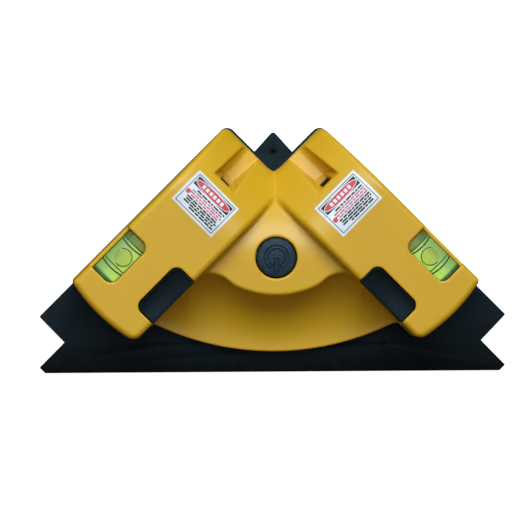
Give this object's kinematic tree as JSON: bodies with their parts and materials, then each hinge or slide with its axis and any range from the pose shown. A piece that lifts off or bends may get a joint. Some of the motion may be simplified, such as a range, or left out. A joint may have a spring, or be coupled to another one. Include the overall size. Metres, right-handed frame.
{
  "type": "laser square level",
  "caption": "Yellow right-angle laser level head with two spirit vials and a power button, on a black base plate with fishtail ends.",
  "frame": {"origin": "centre of the base plate's footprint, on the plane of its flat underside", "axes": "+X along the straight ruler edge to the right, +Y from the ruler edge to the apex where the beams start, +Z out of the plate through the laser head"},
  "size_m": [0.2004, 0.1048, 0.0366],
  "materials": {
    "yellow_abs": "satin moulded ABS",
    "black_abs": "fine spark texture",
    "slate_button": "soft satin",
    "clear_acrylic": "polished",
    "green_liquid": "clear",
    "brass": "turned brass",
    "steel": "plated",
    "board": "solder mask",
    "battery_wrap": "shrink wrap",
    "label_film": "printed film",
    "header_plastic": "moulded",
    "wire_sleeve": "soft sleeve"
  },
  "bodies": {
    "base": {"base_plate": "black_abs"},
    "laser_head": {"back_cover": "black_abs", "board_screw_1": "steel", "board_screw_2": "steel", "board_screw_3": "steel", "capacitor": "steel", "circuit_board": "board", "driver_chip": "black_abs", "left_battery": "battery_wrap", "left_battery_contact": "steel", "left_battery_spring": "steel", "left_clamp_screw_1": "steel", "left_clamp_screw_2": "steel", "left_collimator_lens": "clear_acrylic", "left_cover_screw_1": "steel", "left_cover_screw_2": "steel", "left_cover_screw_3": "steel", "left_diode_lead": "wire_sleeve", "left_label": "label_film", "left_laser_barrel": "brass", "left_laser_clamp": "black_abs", "left_laser_diode": "steel", "left_latch_spring": "steel", "left_line_lens": "clear_acrylic", "left_spring_lead": "wire_sleeve", "left_spring_plate": "steel", "left_vial_body": "clear_acrylic", "left_vial_liquid": "green_liquid", "left_vial_plug": "black_abs", "right_battery": "battery_wrap", "right_battery_contact": "steel", "right_battery_spring": "steel", "right_clamp_screw_1": "steel", "right_clamp_screw_2": "steel", "right_collimator_lens": "clear_acrylic", "right_cover_screw_1": "steel", "right_cover_screw_2": "steel", "right_cover_screw_3": "steel", "right_diode_lead": "wire_sleeve", "right_label": "label_film", "right_laser_barrel": "brass", "right_laser_clamp": "black_abs", "right_laser_diode": "steel", "right_latch_spring": "steel", "right_line_lens": "clear_acrylic", "right_spring_lead": "wire_sleeve", "right_spring_plate": "steel", "right_vial_body": "clear_acrylic", "right_vial_liquid": "green_liquid", "right_vial_plug": "black_abs", "tact_switch": "steel", "top_cover": "yellow_abs", "wire_header": "header_plastic"},
    "power_button": {"power_button": "slate_button"},
    "switch_plunger": {"switch_plunger": "black_abs"},
    "left_latch": {"left_latch": "black_abs"},
    "right_latch": {"right_latch": "black_abs"},
    "left_battery_door": {"left_battery_door": "black_abs"},
    "right_battery_door": {"right_battery_door": "black_abs"}
  },
  "joints": [
    {"name": "head_lift", "type": "slide", "parent": "base", "child": "laser_head", "axis": [0, 0, 1], "range_m": [0, 0.05]},
    {"name": "button_press", "type": "slide", "parent": "laser_head", "child": "power_button", "axis": [0, 0, -1], "range_m": [0, 0.0012], "stiffness_N_per_m": 600, "springref_m": -0.0005},
    {"name": "plunger_press", "type": "slide", "parent": "laser_head", "child": "switch_plunger", "axis": [0, 0, -1], "range_m": [0, 0.0012]},
    {"name": "left_latch_slide", "type": "slide", "parent": "laser_head", "child": "left_latch", "axis": [0.7071, -0.7071, 0], "range_m": [0, 0.002], "stiffness_N_per_m": 1500, "springref_m": -0.001, "deforming": ["left_latch_spring"]},
    {"name": "right_latch_slide", "type": "slide", "parent": "laser_head", "child": "right_latch", "axis": [-0.7071, -0.7071, 0], "range_m": [0, 0.002], "stiffness_N_per_m": 1500, "springref_m": -0.001, "deforming": ["right_latch_spring"]},
    {"name": "left_door_slide", "type": "slide", "parent": "laser_head", "child": "left_battery_door", "axis": [-0.7071, -0.7071, 0], "range_m": [0, 0.04]},
    {"name": "right_door_slide", "type": "slide", "parent": "laser_head", "child": "right_battery_door", "axis": [0.7071, -0.7071, 0], "range_m": [0, 0.04]}
  ],
  "couplings": [
    {"joint": "plunger_press", "follows": "button_press", "ratio": 1}
  ]
}
